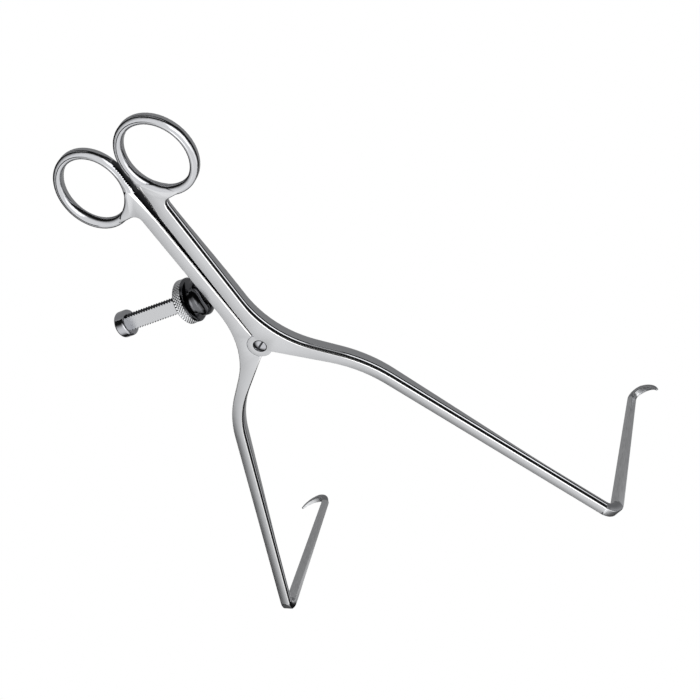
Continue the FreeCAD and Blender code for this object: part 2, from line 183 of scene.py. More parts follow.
def linear(colour):
    """A colour as typed, in sRGB hex, as the linear values that Blender's sockets take."""
    parts = [int(colour[start:start + 2], 16) / 255 for start in (1, 3, 5)]
    return tuple(((part + 0.055) / 1.055) ** 2.4 if part > 0.04045 else part / 12.92 for part in parts)


def smoothed(share):
    """0 below 0, 1 above 1, and an even change between them."""
    held = min(max(share, 0), 1)
    return held * held * (3 - 2 * held)


def feed(node, inputs):
    """Gives a node's inputs a constant, a socket to link, or a node, which means its first output.

    A list fills the first inputs in order, and a dictionary fills them by name or number.
    """
    given = enumerate(inputs) if isinstance(inputs, list) else inputs.items()
    for key, value in given:
        source = value.outputs[0] if isinstance(value, bpy.types.Node) else value
        if isinstance(source, bpy.types.NodeSocket):
            node.id_data.links.new(source, node.inputs[key])
        else:
            node.inputs[key].default_value = source


def add(tree, kind, inputs=None, **settings):
    """Adds a node with its settings and its inputs."""
    made = tree.nodes.new(kind)
    for name, value in settings.items():
        setattr(made, name, value)
    feed(made, inputs or {})
    return made


def new_material(name):
    """An empty material, with its tree and its metal shader."""
    made = bpy.data.materials.new(name)
    made.use_nodes = True
    tree = made.node_tree
    tree.nodes.clear()
    shader = add(tree, "ShaderNodeBsdfPrincipled", {"Metallic": 1.0})
    add(tree, "ShaderNodeOutputMaterial", {"Surface": shader})
    return made, tree, shader


# Places in a material


def drawn_place(tree):
    """Where a point is in the frame the instrument is drawn in: the pivot is its origin, and +Z its top."""
    place = add(tree, "ShaderNodeTexCoord").outputs["Object"]
    drawn = add(tree, "ShaderNodeMapping", {"Vector": place, "Location": PIVOT, "Rotation": (LEAN, 0, 0)},
                vector_type="TEXTURE")
    return add(tree, "ShaderNodeSeparateXYZ", [drawn]).outputs


def ring_reach(tree):
    """How far out a point is from the nearer ring's centre, 1 on its outer edge, and its offsets from it."""
    drawn = drawn_place(tree)
    from_middle = add(tree, "ShaderNodeMath", [drawn["X"]], operation="ABSOLUTE")
    across = add(tree, "ShaderNodeMath", [from_middle, RING_CENTRE.x], operation="SUBTRACT")
    ahead = add(tree, "ShaderNodeMath", [drawn["Y"], RING_CENTRE.y], operation="SUBTRACT")
    offset = add(tree, "ShaderNodeCombineXYZ", [across, ahead])
    long_way = RING_LONG_WAY / RING_HALF_LENGTH
    short_way = RING_SHORT_WAY / RING_HALF_WIDTH
    length = add(tree, "ShaderNodeVectorMath", [offset, long_way], operation="DOT_PRODUCT")
    width = add(tree, "ShaderNodeVectorMath", [offset, short_way], operation="DOT_PRODUCT")
    share = add(tree, "ShaderNodeCombineXYZ", [length.outputs["Value"], width.outputs["Value"]])
    reached = add(tree, "ShaderNodeVectorMath", [share], operation="LENGTH").outputs["Value"]
    return reached, across, ahead


def beyond_ring(tree, reached):
    """0 on a finger ring, 1 on the shank beside it, with a soft change at the ring's outer edge."""
    return add(tree, "ShaderNodeMapRange", {
        "Value": reached, "From Min": RING_FADE_START, "From Max": RING_FADE_END},
        interpolation_type="SMOOTHSTEP")


def by_depth(tree, leans):
    """A lean that changes with the depth below the top, from a table of depths and leans."""
    least = min(lean for depth, lean in leans)
    most = max(lean for depth, lean in leans)
    share = add(tree, "ShaderNodeMath", [drawn_place(tree)["Z"], -SIDE_DEPTH], operation="DIVIDE")
    ramp = add(tree, "ShaderNodeValToRGB", [share])
    stops = ramp.color_ramp.elements
    while len(stops) < len(leans):
        stops.new(1.0)
    for stop, (depth, lean) in zip(stops, leans):
        level = (lean - least) / (most - least)
        stop.position = depth / SIDE_DEPTH
        stop.color = (level, level, level, 1)
    return add(tree, "ShaderNodeMapRange", {"Value": ramp, "To Min": least, "To Max": most})


def ring_lean(tree):
    """Leans a ring's surface away from the middle of its wall, so that it mirrors as a round bar does."""
    reached, across, ahead = ring_reach(tree)
    from_crest = add(tree, "ShaderNodeMath", [reached, RING_CREST], operation="SUBTRACT")
    wall = add(tree, "ShaderNodeMath", [from_crest, 1 - RING_CREST], operation="DIVIDE")
    on_ring = add(tree, "ShaderNodeMath", [1, beyond_ring(tree, reached)], operation="SUBTRACT")
    towards_shank = add(tree, "ShaderNodeMath", [across, -SHANK_SLANT, ahead], operation="MULTIPLY_ADD")
    clear = add(tree, "ShaderNodeMapRange", {
        "Value": towards_shank, "From Min": SHANK_NEAR, "From Max": SHANK_FAR, "To Min": 1, "To Max": 0},
        interpolation_type="SMOOTHSTEP")
    outer = add(tree, "ShaderNodeMath", [wall, 0], operation="MAXIMUM")
    outer = add(tree, "ShaderNodeMath", [outer, clear], operation="MULTIPLY")
    outer = add(tree, "ShaderNodeMath", [outer, on_ring], operation="MULTIPLY")
    inner = add(tree, "ShaderNodeMath", [wall, 0], operation="MINIMUM")
    slope = add(tree, "ShaderNodeMath", [outer, inner], operation="ADD")
    amount = add(tree, "ShaderNodeMath", [slope, RING_LEAN], operation="MULTIPLY")
    is_near = add(tree, "ShaderNodeMath", [reached, RING_FADE_END], operation="LESS_THAN")
    amount = add(tree, "ShaderNodeMath", [amount, is_near], operation="MULTIPLY")
    hand = add(tree, "ShaderNodeMath", [drawn_place(tree)["X"]], operation="SIGN")
    sideways = add(tree, "ShaderNodeMath", [across, hand], operation="MULTIPLY")
    aside = add(tree, "ShaderNodeCombineXYZ", [sideways])
    forward = add(tree, "ShaderNodeVectorMath", {0: FORWARD, "Scale": ahead}, operation="SCALE")
    outward = add(tree, "ShaderNodeVectorMath", [aside, forward], operation="ADD")
    unit = add(tree, "ShaderNodeVectorMath", [outward], operation="NORMALIZE")
    return add(tree, "ShaderNodeVectorMath", {0: unit, "Scale": amount}, operation="SCALE")


def leaned(tree, *leans):
    """The surface's own normal with some leans added to it, which turn with the piece."""
    normal = add(tree, "ShaderNodeNewGeometry").outputs["Normal"]
    for lean in leans:
        turned = add(tree, "ShaderNodeVectorTransform", [lean], vector_type="VECTOR", convert_from="OBJECT",
                     convert_to="WORLD")
        normal = add(tree, "ShaderNodeVectorMath", [normal, turned], operation="ADD")
    return add(tree, "ShaderNodeVectorMath", [normal], operation="NORMALIZE")


# Finishes


def plain_polish(name, colour, roughness):
    """Turned and polished steel of one even finish. Given a dark colour, it also serves as painted shade and as
    painted dark reflections.
    """
    made, _, shader = new_material(name)
    feed(shader, {"Base Color": (*colour, 1), "Roughness": roughness})
    return made


def satin_top():
    """Glass-beaded flat of a lever: even light grey with a very fine grain, and polished on the rings."""
    made, tree, shader = new_material("satin_steel")
    looks = bpy.context.scene.retractor_looks
    place = add(tree, "ShaderNodeTexCoord").outputs["Object"]
    satin = beyond_ring(tree, ring_reach(tree)[0])
    cloud = add(tree, "ShaderNodeTexNoise", {"Vector": place, "Scale": 1 / CLOUD_SIZE, "Detail": 1.0})
    beaded = add(tree, "ShaderNodeMapRange", {"Value": cloud, "To Min": 0.3, "To Max": 0.42})
    roughness = add(tree, "ShaderNodeMapRange", {"Value": satin, "To Min": 0.1, "To Max": beaded})
    marked = add(tree, "ShaderNodeAttribute", attribute_name="crown").outputs["Fac"]
    amount = add(tree, "ShaderNodeMath", [marked, CROWN_LEAN], operation="MULTIPLY")
    crown = add(tree, "ShaderNodeCombineXYZ", [amount])
    grain = add(tree, "ShaderNodeTexNoise", {"Vector": place, "Scale": 1 / BEAD_SIZE, "Detail": 2.0})
    strength = add(tree, "ShaderNodeMath", [satin, 0.08], operation="MULTIPLY")
    beads = add(tree, "ShaderNodeBump", {
        "Height": grain, "Strength": strength, "Distance": BEAD_HEIGHT,
        "Normal": leaned(tree, crown, ring_lean(tree))})
    feed(shader, {"Base Color": (*looks.satin_colour, 1), "Roughness": roughness, "Normal": beads})
    return made


def buffed_steel(name, colour):
    """Buffed, near-mirror steel: its bands of black and white come from the room."""
    made, tree, shader = new_material(name)
    place = add(tree, "ShaderNodeTexCoord").outputs["Object"]
    wave = add(tree, "ShaderNodeTexNoise", {"Vector": place, "Scale": 1 / BUFFING_WAVE, "Detail": 1.0})
    roughness = add(tree, "ShaderNodeMapRange", {"Value": wave, "To Min": 0.07, "To Max": 0.13})
    feed(shader, {"Base Color": (*colour, 1), "Roughness": roughness})
    return made, tree, shader


def mirror_hook_painted_dark():
    """The hooks and the bends: buffed like the sides, with a darker grey painted in for their darker reflections.
    """
    return buffed_steel("mirror_steel_painted_dark", bpy.context.scene.retractor_looks.hook_painted_dark_colour)[0]


def mirror_side():
    """Buffed lever sides: they mirror a black band with a fine white line in it, and grey below."""
    made, tree, shader = buffed_steel("mirror_side_steel", bpy.context.scene.retractor_looks.mirror_colour)
    reached, across, ahead = ring_reach(tree)
    place = add(tree, "ShaderNodeTexCoord").outputs["Object"]
    wave = add(tree, "ShaderNodeTexNoise", {"Vector": place, "Scale": 1 / RING_WAVE, "Detail": 0.0})
    uneven = add(tree, "ShaderNodeMapRange", {
        "Value": wave, "To Min": -RING_WAVINESS, "To Max": RING_WAVINESS})

    # The leans are along the instrument's top. This one makes a ring's walls stand upright in the room
    offset = add(tree, "ShaderNodeCombineXYZ", [across, ahead])
    distance = add(tree, "ShaderNodeVectorMath", [offset], operation="LENGTH").outputs["Value"]
    facing = add(tree, "ShaderNodeMath", [ahead, distance], operation="DIVIDE")
    from_middle = add(tree, "ShaderNodeMath", [RING_MIDDLE, reached], operation="SUBTRACT")
    inside = add(tree, "ShaderNodeMath", [from_middle], operation="SIGN")
    facing = add(tree, "ShaderNodeMath", [facing, inside], operation="MULTIPLY")
    upright = add(tree, "ShaderNodeMath", [facing, math.tan(LEAN)], operation="MULTIPLY")

    buffed = add(tree, "ShaderNodeMath", [by_depth(tree, RING_SIDE_LEANS), uneven], operation="ADD")
    ring = add(tree, "ShaderNodeMath", [buffed, upright], operation="ADD")
    beyond = beyond_ring(tree, reached)
    within = add(tree, "ShaderNodeMath", [1, beyond], operation="SUBTRACT")
    on_ring = add(tree, "ShaderNodeMath", [ring, within], operation="MULTIPLY")
    side = by_depth(tree, SIDE_LEANS)
    lean = add(tree, "ShaderNodeMath", [side, beyond, on_ring], operation="MULTIPLY_ADD")
    along_top = add(tree, "ShaderNodeVectorMath", {0: TOP, "Scale": lean}, operation="SCALE")
    feed(shader, {"Normal": leaned(tree, along_top)})
    return made


def edge_painted_highlight():
    """The fine bevel round the flat tops, with a painted highlight: a near-white colour, brighter than they are,
    so that it reads as a white line.
    """
    made, tree, shader = new_material("edge_painted_highlight_steel")
    looks = bpy.context.scene.retractor_looks
    upwards = leaned(tree, TOP * EDGE_LEAN)
    feed(shader, {"Base Color": (*looks.edge_highlight_colour, 1), "Roughness": 0.2, "Normal": upwards})
    return made


def brushed_prong():
    """The prongs: steel brushed along its length, with fine streaks of lighter and darker grey."""
    made, tree, shader = new_material("brushed_steel")
    looks = bpy.context.scene.retractor_looks
    drawn = drawn_place(tree)
    along = add(tree, "ShaderNodeMath", [drawn["Z"], STREAK_SQUEEZE], operation="MULTIPLY")
    squeezed = add(tree, "ShaderNodeCombineXYZ", [drawn["X"], drawn["Y"], along])
    streaks = add(tree, "ShaderNodeTexNoise", {"Vector": squeezed, "Scale": 1 / STREAK_WIDTH, "Detail": 2.0})
    share = add(tree, "ShaderNodeMapRange", {"Value": streaks, "To Min": 0.65, "To Max": 1.35})
    colour = add(tree, "ShaderNodeVectorMath", {0: looks.satin_colour, "Scale": share}, operation="SCALE")
    feed(shader, {"Base Color": colour, "Roughness": 0.36})
    return made


def domed_polish():
    """The screw's head, buffed so that it is slightly domed: one side mirrors black, the other white."""
    made, tree, shader = new_material("domed_steel")
    looks = bpy.context.scene.retractor_looks
    drawn = drawn_place(tree)
    aside = add(tree, "ShaderNodeVectorMath", {0: (DOME_LEAN, 0, 0), "Scale": drawn["X"]}, operation="SCALE")
    ahead = FORWARD * DOME_LEAN
    forward = add(tree, "ShaderNodeVectorMath", {0: ahead, "Scale": drawn["Y"]}, operation="SCALE")
    dome = leaned(tree, aside, forward)
    feed(shader, {"Base Color": (*looks.turned_colour, 1), "Roughness": 0.08, "Normal": dome})
    return made


def milled_flat():
    """The bar's flats: light satin, with faint marks of the cutter across the bar."""
    made, tree, shader = new_material("satin_bar_steel")
    looks = bpy.context.scene.retractor_looks
    place = add(tree, "ShaderNodeTexCoord").outputs["Object"]
    along = add(tree, "ShaderNodeVectorMath", [place, ALONG_BAR], operation="DOT_PRODUCT").outputs["Value"]
    lines = add(tree, "ShaderNodeTexNoise", {"W": along, "Scale": 1 / CUTTER_MARK, "Detail": 3.0},
                noise_dimensions="1D")
    marks = add(tree, "ShaderNodeBump", {"Height": lines, "Strength": 0.12, "Distance": CUTTER_HEIGHT})
    feed(shader, {"Base Color": (*looks.satin_colour, 1), "Roughness": 0.42, "Normal": marks})
    return made


# Meshes

SAME_CORNER = 0.0005 * MM
DEAD_LEVEL = 0.9995
SHARP_EDGE = 32.0


def shown(name, mesh):
    """A new object in the scene with this mesh."""
    made = bpy.data.objects.new(name, mesh)
    bpy.context.scene.collection.objects.link(made)
    return made


def from_bmesh(name, work):
    """A new object in the scene from an edited mesh."""
    mesh = bpy.data.meshes.new(name)
    work.to_mesh(mesh)
    work.free()
    return shown(name, mesh)


def cad_mesh(node):
    """A copy of a CAD node's mesh with its split corners merged, open for editing."""
    work = bmesh.new()
    work.from_mesh(frame["nodes"][node].data)
    bmesh.ops.remove_doubles(work, verts=work.verts, dist=SAME_CORNER)
    return work


def settled(obj):
    """The object with its modifiers' result as a plain mesh, and no modifier left."""
    graph = bpy.context.evaluated_depsgraph_get()
    mesh = bpy.data.meshes.new_from_object(
        obj.evaluated_get(graph), preserve_all_data_layers=True, depsgraph=graph)
    obj.modifiers.clear()
    obj.data = mesh
    return obj


def grown(name, tree, values):
    """An object made by a node tree, with the tree's named inputs set, as a plain mesh."""
    made = shown(name, bpy.data.meshes.new(name))
    modifier = made.modifiers.new(tree.name, "NODES")
    modifier.node_group = tree
    for item in tree.interface.items_tree:
        if item.item_type == "SOCKET" and item.in_out == "INPUT":
            modifier[item.identifier] = values[item.name]
    return settled(made)


def finished(name, work, finishes, sharp=SHARP_EDGE):
    """Turns an edited mesh into a smooth-shaded object whose flats stay flat."""
    work.normal_update()
    made = from_bmesh(name, work)
    mesh = made.data
    for finish in finishes:
        mesh.materials.append(finish)
    mesh.shade_smooth()
    mesh.set_sharp_from_angle(angle=math.radians(sharp))
    for face in mesh.polygons:
        face.use_smooth = abs(face.normal.dot(TOP)) < DEAD_LEVEL
    weights = made.modifiers.new("Flat faces lead", "WEIGHTED_NORMAL")
    weights.keep_sharp = True
    return settled(made)


def placed(obj, body, slot, *nodes):
    """Attaches a piece to the body that carries it, and hides the CAD nodes it stands for. The finish it is given
    is not used.
    """
    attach(obj, body)
    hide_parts(*nodes)


# What a user can change


class RetractorSizes(bpy.types.PropertyGroup):
    """The sizes of the details that the frame leaves plain."""
    thread_pitch: FloatProperty(
        name="Thread pitch", description="Distance from crest to crest along the bar",
        default=1.25 * MM, min=0.4 * MM, unit="LENGTH", precision=5)
    thread_depth: FloatProperty(
        name="Thread depth", description="From crest to root",
        default=0.75 * MM, min=0.1 * MM, unit="LENGTH", precision=5)
    knurl_count: IntProperty(
        name="Knurl grooves", description="Grooves of one hand round the nut", default=46, min=12)
    knurl_depth: FloatProperty(
        name="Knurl depth", description="From the diamonds' tops to the grooves", default=0.4 * MM,
        min=0.05 * MM, unit="LENGTH", precision=5)


class RetractorLooks(bpy.types.PropertyGroup):
    """The colours of the steel's finishes."""
    satin_colour: FloatVectorProperty(
        name="Satin steel", description="Flat tops of the levers and the bar", subtype="COLOR",
        default=linear("#C4C5C7"), min=0, max=1)
    mirror_colour: FloatVectorProperty(
        name="Mirror steel", description="Sides and rings", subtype="COLOR",
        default=linear("#B4B5B8"), min=0, max=1)
    # Painted dark reflection: hooks and bends get a darker grey than the sides
    hook_painted_dark_colour: FloatVectorProperty(
        name="Hook steel", description="Hooks and bends, buffed darker", subtype="COLOR",
        default=linear("#8C8D90"), min=0, max=1)
    # Painted highlight: the bevels round the flat tops get a near-white colour
    edge_highlight_colour: FloatVectorProperty(
        name="Edge steel", description="The fine bevels round the levers' flat tops", subtype="COLOR",
        default=linear("#F6F6F6"), min=0, max=1)
    turned_colour: FloatVectorProperty(
        name="Turned steel", description="End stop, screw and pin", subtype="COLOR",
        default=linear("#A9AAAE"), min=0, max=1)
    # Painted shade: the thread flanks, the screw's slot and the shanks' inner faces get a dark colour
    painted_shade_colour: FloatVectorProperty(
        name="Recessed steel", description="Thread flanks, the screw's slot and the shanks' inner faces",
        subtype="COLOR", default=linear("#3E3F42"), min=0, max=1)
    # Painted dark reflection: the nut and collar get a darker colour than the rest
    nut_painted_dark_colour: FloatVectorProperty(
        name="Nut steel", description="Nut and collar, darker than the rest", subtype="COLOR",
        default=linear("#5C5D60"), min=0, max=1)
    floor_colour: FloatVectorProperty(
        name="Floor", description="The pale floor below the instrument", subtype="COLOR",
        default=linear("#F2F2F2"), min=0, max=1)


# Levers

# The fourth finish is painted shade, the fifth a painted highlight, and the third a painted darker grey for the
# hooks' reflections
SATIN_TOP, BUFFED_SIDE, HOOK_PAINTED_DARK, INNER_FACE_PAINTED_SHADE, EDGE_PAINTED_HIGHLIGHT, BRUSHED_PRONG = range(6)


def hole_drill():
    """A ring's hole as a solid round its own centre, flared at both rims as the ring's edges are."""
    turns = [math.pi / 2 * step / RIM_STEPS for step in range(RIM_STEPS, -1, -1)]
    flare = [(RING_ROUNDING * (1 - math.cos(turn)), RING_ROUNDING * (1 - math.sin(turn))) for turn in turns]
    levels = [(RING_ROUNDING, -HOLE_CUT)] + flare
    levels += [(wider, RING_DEPTH - depth) for wider, depth in reversed(levels)]
    drill = bmesh.new()
    hoops = []
    for wider, depth in levels:
        hoop = []
        for step in range(HOLE_STEPS):
            turn = math.tau * step / HOLE_STEPS
            across = (HOLE_HALF_WIDTH + wider) * math.cos(turn)
            ahead = (HOLE_HALF_LENGTH + wider) * math.sin(turn)
            hoop.append(drill.verts.new((across, ahead, -depth)))
        hoops.append(hoop)
    for upper, lower in zip(hoops, hoops[1:]):
        for step in range(HOLE_STEPS):
            drill.faces.new((upper[step - 1], upper[step], lower[step], lower[step - 1]))
    drill.faces.new(hoops[0])
    drill.faces.new(hoops[-1])
    bmesh.ops.recalc_face_normals(drill, faces=drill.faces)
    return drill


def open_ring(work, side):
    """Cuts a finger ring's hole clear through the shank's straight end, which stands a little way into it."""
    drill = hole_drill()
    centre = Matrix.Translation((side * RING_CENTRE.x, RING_CENTRE.y, 0))
    drill.transform(STANCE @ centre @ Matrix.Rotation(-side * RING_TILT, 4, "Z"))
    cutter = from_bmesh("Hole", drill)
    blank = from_bmesh("Blank", work)
    cut = blank.modifiers.new("Open the hole", "BOOLEAN")
    cut.operation = "DIFFERENCE"
    cut.solver = "EXACT"
    cut.object = cutter
    opened = bmesh.new()
    opened.from_mesh(settled(blank).data)
    bmesh.ops.remove_doubles(opened, verts=opened.verts, dist=SAME_CORNER)
    opened.normal_update()
    bpy.data.objects.remove(cutter)
    bpy.data.objects.remove(blank)
    return opened


def fill_web(work, side):
    """Takes a lever's inner edge out to the middle beside its ring, as far as the ring's nearest point."""
    for corner in work.verts:
        place = DRAWN @ corner.co
        if not WEB_END < place.y < WEB_START:
            continue
        if place.y > WEB_WIDEST:
            gap = WEB_WIDTH * (WEB_START - place.y) / (WEB_START - WEB_WIDEST)
        else:
            gap = WEB_WIDTH * (place.y - WEB_END) / (WEB_WIDEST - WEB_END)
        beyond = (place.x * side - INNER_EDGE - gap - WEB_RIM) / WEB_FADE
        place.x -= side * gap * (1 - smoothed(beyond))
        corner.co = STANCE @ place
    work.normal_update()


def mark_crown(work):
    """Marks the corners of the flat tops with how far the surface leans: 0 on one edge, 1 on the other."""
    layer = work.verts.layers.float.new("crown")
    turn = DRAWN.to_3x3()
    for corner in work.verts:
        place = DRAWN @ corner.co
        outward = Vector((0, 0, 0))
        for face in corner.link_faces:
            if face.normal.dot(TOP) < LEVEL:
                outward += turn @ face.normal
        outward.z = 0
        if place.z > -FLAT_TOLERANCE and outward.length > FAINT:
            share = (outward.normalized().x + 1) / 2
            grown_by = smoothed((place.y - FULL_CROWN_FROM) / (FULL_CROWN_AT - FULL_CROWN_FROM))
            corner[layer] = share * (SHANK_CROWN + (1 - SHANK_CROWN) * grown_by)
        elif place.y > FULL_CROWN_AT:
            corner[layer] = BEND_CROWN


def within_ring(place):
    """Whether a place in the instrument's own frame is on a finger ring, or just beside its outer edge."""
    offset = Vector((abs(place.x) - RING_CENTRE.x, place.y - RING_CENTRE.y, 0))
    length = offset.dot(RING_LONG_WAY) / RING_HALF_LENGTH
    width = offset.dot(RING_SHORT_WAY) / RING_HALF_WIDTH
    return length ** 2 + width ** 2 < RING_LIMIT


def lever_finish_and_painted_light(normal, place, past_flat):
    """Which finish or painted light a lever's face has, by its normal, its place as drawn, and if it is past the
    flat top.
    """
    below = -place.z
    upwards = normal.dot(TOP)
    if PRONG_FROM < below < PRONG_TO:
        return BRUSHED_PRONG
    if upwards > LEVEL and below < FLAT_TOLERANCE:
        return SATIN_TOP
    if past_flat and upwards > FACES_UP:
        return SATIN_TOP
    # Hooks and bends get a darker grey, painted in for their darker reflections
    if past_flat or below > PRONG_FROM:
        return HOOK_PAINTED_DARK
    # Painted shade: the shanks' facing sides behind the joint get a dark colour
    if abs(place.x) < BETWEEN_SHANKS and place.y < BEHIND_JOINT and abs(normal.x) > FACES_ASIDE:
        return INNER_FACE_PAINTED_SHADE
    # Painted highlight: the bevels round the flat top, off the rings, get a near-white colour
    if upwards > FACES_UP and below < EDGE_DEPTH and not within_ring(place):
        return EDGE_PAINTED_HIGHLIGHT
    return BUFFED_SIDE


class RETRACTOR_OT_levers(bpy.types.Operator):
    """Both levers: satin flat tops, brushed prongs, and mirror on the sides, the rings and the hooks"""
    bl_idname = "retractor.levers"
    bl_label = "Levers"

    def execute(self, context):
        looks = context.scene.retractor_looks
        # Painted shade: the shanks' facing sides see only each other, so they get a dark colour and read as a dark
        # line
        inner = plain_polish("inner_face_painted_shade", looks.painted_shade_colour, 0.35)
        finishes = [satin_top(), mirror_side(), mirror_hook_painted_dark(), inner, edge_painted_highlight(), brushed_prong()]
        for node, body, side in (("left_lever", "left_side", -1), ("right_lever", "right_side", 1)):
            work = open_ring(cad_mesh(node), side)
            fill_web(work, side)
            mark_crown(work)
            places = [DRAWN @ corner.co for corner in work.verts]
            heading = Vector((side * ARM_HEADING.x, ARM_HEADING.y, 0))
            flat_end = max(place.dot(heading) for place in places if place.z > -FLAT_TOLERANCE)
            for face in work.faces:
                place = DRAWN @ face.calc_center_median()
                face.material_index = lever_finish_and_painted_light(face.normal, place, place.dot(heading) > flat_end)
            lever = finished(node + "_steel", work, finishes)
            placed(lever, body, "satin_steel", node)
        return {"FINISHED"}


# Grids wrapped round the bar's axis


def wrapping_tree(name, sizes, counts):
    """Starts a tree that wraps a flat grid round the X axis, and gives its inputs and the band it makes.

    The band has its grid, and for each point its travel along the axis, its share of the way round, and how
    far it is from the band's middle.
    """
    tree = bpy.data.node_groups.new(name, "GeometryNodeTree")
    face = tree.interface
    face.new_socket("Geometry", in_out="OUTPUT", socket_type="NodeSocketGeometry")
    for size in sizes:
        face.new_socket(size, in_out="INPUT", socket_type="NodeSocketFloat")
    for count in counts:
        face.new_socket(count, in_out="INPUT", socket_type="NodeSocketInt")
    face.new_socket("Finish", in_out="INPUT", socket_type="NodeSocketMaterial")
    given = add(tree, "NodeGroupInput").outputs
    rows = add(tree, "ShaderNodeMath", [given["Rows"], 1], operation="ADD")
    columns = add(tree, "ShaderNodeMath", [given["Steps round"], 1], operation="ADD")
    grid = add(tree, "GeometryNodeMeshGrid", {"Vertices X": rows, "Vertices Y": columns})
    flat = add(tree, "ShaderNodeSeparateXYZ", [add(tree, "GeometryNodeInputPosition")]).outputs
    ahead = add(tree, "ShaderNodeMath", [flat["X"], 0.5], operation="ADD")
    travel = add(tree, "ShaderNodeMath", [ahead, given["Length"]], operation="MULTIPLY")
    share = add(tree, "ShaderNodeMath", [flat["Y"], 0.5], operation="ADD")
    return tree, given, {"grid": grid, "travel": travel, "share": share, "from middle": flat["X"]}


def wrap(tree, given, band, radius, half_thickness=None):
    """Ends the tree: the grid goes round at this radius, and is flat on two sides if a thickness is given."""
    angle = add(tree, "ShaderNodeMath", [band["share"], math.tau], operation="MULTIPLY")
    cosine = add(tree, "ShaderNodeMath", [angle], operation="COSINE")
    sine = add(tree, "ShaderNodeMath", [angle], operation="SINE")
    side = add(tree, "ShaderNodeMath", [radius, cosine], operation="MULTIPLY")
    height = add(tree, "ShaderNodeMath", [radius, sine], operation="MULTIPLY")
    if half_thickness:
        lowest = add(tree, "ShaderNodeMath", [half_thickness, -1], operation="MULTIPLY")
        height = add(tree, "ShaderNodeMath", [height, half_thickness], operation="MINIMUM")
        height = add(tree, "ShaderNodeMath", [height, lowest], operation="MAXIMUM")
    along = add(tree, "ShaderNodeMath", [band["travel"], given["Start"]], operation="ADD")
    spot = add(tree, "ShaderNodeCombineXYZ", [along, side, height])
    wrapped = add(tree, "GeometryNodeSetPosition", {"Geometry": band["grid"], "Position": spot})
    closed = add(tree, "GeometryNodeMergeByDistance", {"Geometry": wrapped, "Distance": 0.001 * MM})
    real = add(tree, "GeometryNodeRealizeInstances", [closed])
    coated = add(tree, "GeometryNodeSetMaterial", {"Geometry": real, "Material": given["Finish"]})
    add(tree, "NodeGroupOutput", [coated])


# Threaded bar

ROWS_PER_TURN = 8
THREAD_STEPS = 72
THREAD_EDGE = 24.0
BAR_FLAT = 0.9


def thread_tree():
    """A threaded rod with two flats: the thread's roots bite into the rod's round edges."""
    tree, given, band = wrapping_tree(
        "Flat-sided thread", ("Start", "Length", "Radius", "Half thickness", "Pitch", "Depth"),
        ("Rows", "Steps round"))
    turned = add(tree, "ShaderNodeMath", [band["travel"], given["Pitch"]], operation="DIVIDE")
    turns = add(tree, "ShaderNodeMath", [turned, band["share"]], operation="SUBTRACT")
    tooth = add(tree, "ShaderNodeMath", [turns, 0.5], operation="PINGPONG")
    root = add(tree, "ShaderNodeMath", [tooth, 2], operation="MULTIPLY")
    bite = add(tree, "ShaderNodeMath", [root, given["Depth"]], operation="MULTIPLY")
    radius = add(tree, "ShaderNodeMath", [given["Radius"], bite], operation="SUBTRACT")
    wrap(tree, given, band, radius, given["Half thickness"])
    return tree


def cut_off(work, distance, keep_below):
    """Keeps what lies on one side of a plane across the bar, and closes the cut."""
    plane = BAR_PIN + ALONG_BAR * distance
    geometry = work.verts[:] + work.edges[:] + work.faces[:]
    found = bmesh.ops.bisect_plane(
        work, geom=geometry, plane_co=plane, plane_no=ALONG_BAR, dist=0.0001 * MM,
        clear_outer=keep_below, clear_inner=not keep_below)
    edges = [part for part in found["geom_cut"] if isinstance(part, bmesh.types.BMEdge)]
    bmesh.ops.holes_fill(work, edges=edges, sides=0)


class RETRACTOR_OT_threaded_bar(bpy.types.Operator):
    """The flat-sided bar with its thread, from the tongue in the left lever to the tenon in the end stop"""
    bl_idname = "retractor.threaded_bar"
    bl_label = "Threaded bar"

    def execute(self, context):
        sizes = context.scene.retractor_sizes
        looks = context.scene.retractor_looks
        # Painted shade: the thread's flanks lie in each other's shade, so they get a dark colour and the bar's
        # edges read as dark teeth
        flanks = plain_polish("thread_flanks_painted_shade", looks.painted_shade_colour, 0.3)
        flat = milled_flat()
        length = STOP_START - TONGUE_LENGTH
        blade = grown("Thread", thread_tree(), {
            "Start": TONGUE_LENGTH,
            "Length": length,
            "Radius": BAR_RADIUS,
            "Half thickness": BAR_HALF_THICKNESS,
            "Pitch": sizes.thread_pitch,
            "Depth": sizes.thread_depth,
            "Rows": round(length / sizes.thread_pitch) * ROWS_PER_TURN,
            "Steps round": THREAD_STEPS,
            "Finish": flat,
        })
        work = bmesh.new()
        for keep_below, distance in ((True, TONGUE_LENGTH), (False, STOP_START)):
            end = cad_mesh("threaded_bar")
            cut_off(end, distance, keep_below)
            kept = bpy.data.meshes.new("Bar end")
            end.to_mesh(kept)
            end.free()
            work.from_mesh(kept)
        blade.data.transform(BAR_PLACE)
        work.from_mesh(blade.data)
        bpy.data.objects.remove(blade)
        rims = [edge for edge in work.edges if edge.is_boundary]
        bmesh.ops.holes_fill(work, edges=rims, sides=0)
        bmesh.ops.recalc_face_normals(work, faces=work.faces)
        work.normal_update()
        for face in work.faces:
            face.material_index = 0 if abs(face.normal.dot(TOP)) > BAR_FLAT else 1
        bar = finished("threaded_bar_steel", work, [flat, flanks], sharp=THREAD_EDGE)
        placed(bar, "bar", "satin_bar_steel", "threaded_bar")
        return {"FINISHED"}


# Knurled nut

KNURL_ROWS = 24
STEPS_PER_GROOVE = 8
KNURL_FADE = 12
GRIP_FACES_OUT = 0.1


